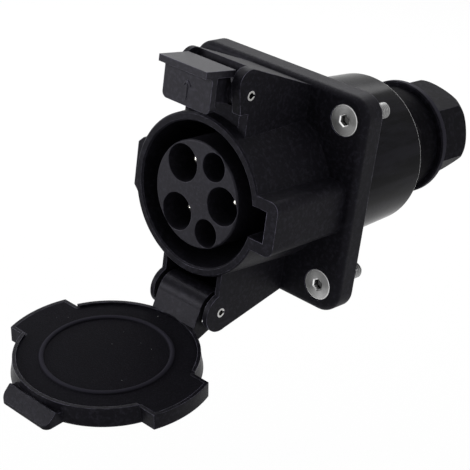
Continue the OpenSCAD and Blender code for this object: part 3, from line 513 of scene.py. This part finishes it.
def skin(name, grid, material):
    """A piece from a grid of points: rows along one parameter, columns round the other.

    Each cell becomes one quad and the last column joins the first. The first and last rows close
    with one flat face each. The faces are turned outwards by the sign of the enclosed volume, which
    is a sixth of the sum of a . (b x c) over the triangles of all quads.
    """
    rows, columns = grid.shape[:2]
    index = np.arange(rows * columns).reshape(rows, columns)
    after = np.roll(index, -1, axis=1)
    quads = np.stack([index[:-1], after[:-1], after[1:], index[1:]], axis=-1).reshape(-1, 4)
    caps = np.stack([index[0, ::-1], index[-1]])
    points = grid.reshape(-1, 3)
    a, b, c, d = (points[quads[:, k]] for k in range(4))
    volume = np.einsum("ij,ij->", a, np.cross(b, c)) + np.einsum("ij,ij->", a, np.cross(c, d))
    if volume < 0:
        quads = quads[:, ::-1]
        caps = caps[:, ::-1]
    faces = quads.tolist() + caps.tolist()
    mesh = bpy.data.meshes.new(name)
    mesh.from_pydata(points.tolist(), [], faces)
    mesh.polygons.foreach_set("use_smooth", [True] * len(faces))
    mesh.set_sharp_from_angle(angle=math.radians(SHARP_ANGLE))
    mesh.materials.append(material)
    piece = bpy.data.objects.new(name, mesh)
    bpy.context.scene.collection.objects.link(piece)
    return piece


def joined(name, pieces, body):
    """Several pieces of one finish as one object, under one name and on one body."""
    with bpy.context.temp_override(active_object=pieces[0], selected_editable_objects=pieces):
        bpy.ops.object.join()
    pieces[0].name = name
    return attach(pieces[0], body)


def screw_grid(face_y, length):
    """One countersunk screw about the Y axis, as radius and depth over angle and profile.

    The socket is a hexagon: its radius at angle u is half the width across the flats over the
    cosine of the angle to the nearest flat. A slim shank runs on from the cone. The thread's radius
    is a blunted triangle wave of depth / pitch - u / turn, which fades in behind the shank and fades
    out at the tip.
    """
    u = np.linspace(0, 2 * np.pi, SCREW_SIDES, endpoint=False)
    hexagon = SCREW_SOCKET_AF / 2 / np.cos((u + np.pi / 6) % (np.pi / 3) - np.pi / 6)
    head_r = SCREW_HEAD_D / 2
    shank_r = SCREW_SHANK_D / 2
    thread_r = SCREW_D / 2
    cone_end = SCREW_HEAD_RIM + head_r - shank_r
    head = [
        (hexagon * SCREW_HOLLOW_SHARE, SCREW_SOCKET_DEPTH + SCREW_HOLLOW_DEPTH),
        (hexagon, SCREW_SOCKET_DEPTH),
        (hexagon, SCREW_SOCKET_CHAMFER),
        (hexagon + SCREW_SOCKET_CHAMFER, 0),
        *((head_r - inset, depth) for inset, depth in SCREW_EDGE_POINTS),
        (head_r, SCREW_HEAD_RIM),
        (shank_r, cone_end),
        (shank_r, SCREW_SHANK_END),
        (thread_r - THREAD_CHAMFER, SCREW_SHANK_END),
    ]
    head_rows = [np.stack([radius + 0 * u, depth + 0 * u], axis=-1) for radius, depth in head]
    depth = np.linspace(SCREW_SHANK_END + THREAD_CHAMFER, length, THREAD_ROWS)[:, None]
    phase = (depth / SCREW_PITCH - u / (2 * np.pi)) % 1
    wave = np.abs(2 * phase - 1) * (1 + 2 * THREAD_BLUNTING) - THREAD_BLUNTING
    fade_in = np.clip((depth - SCREW_SHANK_END) / SCREW_PITCH - THREAD_FADE_IN, 0, 1)
    fade_out = np.clip((length - depth) / SCREW_PITCH + THREAD_FADE_OUT, 0, 1)
    groove = THREAD_DEPTH * SCREW_PITCH * fade_in * fade_out * (1 - np.clip(wave, 0, 1))
    tip = np.clip(SCREW_END_CHAMFER - (length - depth), 0, None)
    thread_rows = np.stack([thread_r - groove - tip, depth + 0 * u], axis=-1)
    profile = np.concatenate([np.stack(head_rows), thread_rows])
    radius, depth = profile[..., 0], profile[..., 1]
    return np.stack([radius * np.cos(u), face_y + depth, radius * np.sin(u)], axis=-1)


def mounting_screws():
    """The four screws, at the corners of the square that their heads span.

    Each point keeps its distance from the screw's own axis, which the turned rings follow, and a
    value, half of 1 + cos(2 (angle - sheen angle)), that paints a sheen on two sectors of the faces.
    """
    low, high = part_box("flange_screws")
    material = screw_steel("turned_steel", low.y)
    screw = screw_grid(low.y, high.y - low.y)
    radius = np.hypot(screw[..., 0], screw[..., 2])
    angle = np.arctan2(screw[..., 2], screw[..., 0]) - math.radians(SCREW_PAINTED_SHEEN_ANGLE)
    # Values of the sheen painted on two sectors of each face
    values = {"radius": radius, "painted_sheen": 0.5 + 0.5 * np.cos(2 * angle)}
    reach = high.x - SCREW_HEAD_D / 2
    made = []
    for number, (sx, sz) in enumerate([(-1, -1), (-1, 1), (1, -1), (1, 1)]):
        place = np.array([sx * reach, 0, sz * reach])
        piece = skin(f"mounting_screw_{number}", screw + place, material)
        for key, value in values.items():
            piece.data.attributes.new(key, "FLOAT", "POINT").data.foreach_set("value", value.ravel())
        made.append(piece)
    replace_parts(joined("mounting_screws", made, "housing"), "flange_screws")


def coil_grid(pivot, x0, coil_r, wire_r, pitch, turns, start, legs, side=1):
    """A round wire wound about an axis along X, with a straight leg at each end.

    The wire's middle at angle a is the pivot, plus the coil radius outwards at a, plus the pitch
    times the turns so far along X. A leg runs on along the tangent at its end of the coil. The
    skin is a circle of the wire's radius in the plane of X and the outward direction. Side -1 winds
    the coil the other way along X.
    """
    turned = np.concatenate([[0], np.linspace(0, turns, turns * WIRE_STEPS + 1), [turns]])
    ahead = np.zeros(len(turned))
    ahead[0] = -legs[0]
    ahead[-1] = legs[1]
    a = math.radians(start) + 2 * np.pi * turned
    nothing = np.zeros_like(a)
    out = np.stack([nothing, np.cos(a), np.sin(a)], axis=-1)
    tangent = np.stack([nothing, -np.sin(a), np.cos(a)], axis=-1)
    along = np.array([side, 0, 0])
    middle = np.array(pivot) + coil_r * out + ahead[:, None] * tangent
    middle = middle + (x0 + pitch * turned)[:, None] * along
    b = np.linspace(0, 2 * np.pi, WIRE_SIDES, endpoint=False)[:, None]
    ring = np.cos(b) * out[:, None] + np.sin(b) * along
    return middle[:, None] + wire_r * ring


def joint_pivot(name):
    """The point of a joint's axis in the middle of the part."""
    joint = next(j for j in frame["joints"] if j["name"] == name)
    return Vector((0, *joint["pos_m"][1:]))


def return_springs(material):
    """The two coils in the lid's knuckle and the long coil in the latch.

    The long coil is wound about the latch's pivot, and is attached to no body.
    """
    x0 = LID_COIL_END - LID_COIL["pitch"] * LID_COIL["turns"]
    pivot = joint_pivot("lid_hinge") + Vector((LID_COIL_MIDDLE, 0, 0))
    coils = []
    for side in (-1, 1):
        grid = coil_grid(pivot, x0, side=side, **LID_COIL)
        coils.append(skin(f"lid_coil_{side}", grid, material))
    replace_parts(joined("lid_coils", coils, "housing"), "lid_springs")
    pivot = joint_pivot("latch_hinge")
    half = LATCH_COIL["pitch"] * LATCH_COIL["turns"] / 2
    coil = skin("latch_coil", coil_grid(pivot, -half, **LATCH_COIL), material)
    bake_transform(coil)
    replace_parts(coil, "latch_spring")


def stroke_grid(start, end, face_y):
    """A raised stroke from start to end, each an x and a z, on a plate that faces -Y.

    Its fullness at share s of its length is sqrt(1 - |2s - 1|^8), which rounds the ends. At angle b
    of its section it reaches sideways by the stroke times fullness times cos b, and stands out by the
    relief times fullness times sin b. The half below the face is sunk less deep.
    """
    s = np.linspace(0, 1, STROKE_ROWS)[:, None]
    fullness = np.sqrt(np.clip(1 - np.abs(2 * s - 1) ** STROKE_END_POWER, STROKE_END_LEAST, 1))
    b = np.linspace(0, 2 * np.pi, STROKE_SIDES, endpoint=False)
    start = np.array(start)
    run = np.array(end) - start
    across = np.array([-run[1], run[0]]) / np.hypot(*run)
    middle = start + s * run
    sideways = ARROW_STROKE * fullness * np.cos(b)
    x = middle[:, :1] + sideways * across[0]
    z = middle[:, 1:] + sideways * across[1]
    lift = ARROW_RELIEF * fullness * np.sin(b)
    y = face_y - np.where(lift > 0, lift, lift * ARROW_SUNK_SHARE)
    return np.stack([x, y, z], axis=-1)


def latch_arrow(material):
    """A plain arrow on the latch's front plate that points up: a shaft and two barbs."""
    low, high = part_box("latch")
    face_y = low.y + THUMB_OVERHANG
    top = high.z - ARROW_DROP
    barb_z = top - ARROW_W * ARROW_BARB_SHARE
    feet = [(0, top - ARROW_H), (-ARROW_W / 2, barb_z), (ARROW_W / 2, barb_z)]
    pieces = [skin(f"arrow_stroke_{k}", stroke_grid(foot, (0, top), face_y), material)
              for k, foot in enumerate(feet)]
    joined("latch_arrow", pieces, "latch")


def white_share(n):
    """1 for rays from the camera, from a reflection or through glass."""
    kinds = ("Camera", "Glossy", "Transmission")
    rays = [n.node("LightPath", output=f"Is {kind} Ray") for kind in kinds]
    return n.math("MINIMUM", rays[0] + rays[1] + rays[2], 1.0)


def floor_shade():
    """Pale floor that shows near white, and still takes a soft part of the shadow."""
    material = bpy.data.materials.new("pale_floor")
    n = Nodes(material)
    paint = n.node("BsdfDiffuse", {}, {"Color": grey(FLOOR_PAINT)})
    glow = n.node("Emission", {}, {"Color": grey(1.0), "Strength": 1.0})
    shader = n.node("MixShader", {}, {0: white_share(n) * FLOOR_GLOW, 1: paint, 2: glow})
    n.node("OutputMaterial", {}, {"Surface": shader})
    return material


def pale_floor():
    """A square floor below the part."""
    z = cad_box[0][2] - FLOOR_DROP
    half = FLOOR_SIDE / 2
    corners = [(-half, -half, z), (half, -half, z), (half, half, z), (-half, half, z)]
    mesh = bpy.data.meshes.new("floor")
    mesh.from_pydata(corners, [], [(0, 1, 2, 3)])
    mesh.materials.append(floor_shade())
    floor = bpy.data.objects.new("floor", mesh)
    bpy.context.scene.collection.objects.link(floor)


def white_surround():
    """A world that shows white and lights the part more dimly."""
    world = bpy.data.worlds.new("studio")
    bpy.context.scene.world = world
    n = Nodes(world)
    light = n.node("Background", {}, {"Color": grey(1.0), "Strength": SURROUND_LIGHT})
    seen = n.node("Background", {}, {"Color": grey(1.0), "Strength": SURROUND_SEEN})
    shader = n.node("MixShader", {}, {0: white_share(n), 1: light, 2: seen})
    n.node("OutputWorld", {}, {"Surface": shader})


def lamp(name, place, size, power):
    """A square soft lamp that faces the part."""
    light = bpy.data.lights.new(name, "AREA")
    light.size = size
    light.energy = power
    made = bpy.data.objects.new(name, light)
    made.location = place
    made.rotation_euler = Vector(place).to_track_quat("Z", "Y").to_euler()
    bpy.context.scene.collection.objects.link(made)


def photo_camera():
    """The photograph's camera: turned about Z, then X, then Z again, and shifted to its centre."""
    data = bpy.data.cameras.new("camera")
    data.lens = CAMERA_LENS
    data.sensor_width = CAMERA_SENSOR
    data.shift_x = (PHOTO_SIDE / 2 - PRINCIPAL_POINT[0]) / PHOTO_SIDE
    data.shift_y = (PRINCIPAL_POINT[1] - PHOTO_SIDE / 2) / PHOTO_SIDE
    camera = bpy.data.objects.new("camera", data)
    pan, tilt, roll = (math.radians(angle) for angle in CAMERA_TURNS)
    turn = Matrix.Rotation(pan, 3, "Z") @ Matrix.Rotation(tilt, 3, "X") @ Matrix.Rotation(roll, 3, "Z")
    camera.location = CAMERA_PLACE
    camera.rotation_euler = turn.to_euler()
    bpy.context.scene.collection.objects.link(camera)
    bpy.context.scene.camera = camera


# Plastics and rubbers
dress(moulded_plastic("grained_nylon", **HOUSING_NYLON), "front_housing")
dress(moulded_plastic("lid_nylon", **LID_NYLON), "lid")
latch_nylon = moulded_plastic("latch_nylon", **LATCH_NYLON)
dress(latch_nylon, "latch")
dress(moulded_plastic("insert_plastic", **INSERT_PLASTIC), "contact_insert", "contact_retainer",
      "insert_lock_ring")
# The collar of the nut gets a painted highlight
gland_nylon = moulded_plastic("gland_nylon", highlight_heights=collar_heights(), **GLAND_NYLON)
dress(gland_nylon, "gland_nut", "gland_locknut")
dress(moulded_plastic("gland_body_nylon", **GLAND_BODY_NYLON), "gland_body")
dress(gloss_plastic("polished_plastic", **SHELL_PLASTIC), "rear_shell")
# The pad's bead gets a painted highlight
dress(grained_rubber("lid_rubber", bead_highlight=bead_heights(), **LID_RUBBER), "lid_gasket")
dress(grained_rubber("seal_rubber", **SEAL_RUBBER), "shell_seal", "gland_washer", "gland_seal")

# Metals
dress(metal("satin_steel", **SATIN_STEEL), "retainer_screws")
dress(metal("pin_steel", **PIN_STEEL), "lid_hinge_pin", "latch_pin")
dress(metal("silver_plate", **SILVER_PLATE), "line_contact", "neutral_contact", "earth_contact",
      "pilot_contact", "proximity_contact")

# New pieces
mounting_screws()
return_springs(metal("spring_wire", **SPRING_WIRE))
latch_arrow(latch_nylon)

# Studio
pale_floor()
white_surround()
for lamp_name, settings in LAMPS.items():
    lamp(lamp_name, *settings)
photo_camera()
bpy.context.scene.view_settings.view_transform = "Standard"
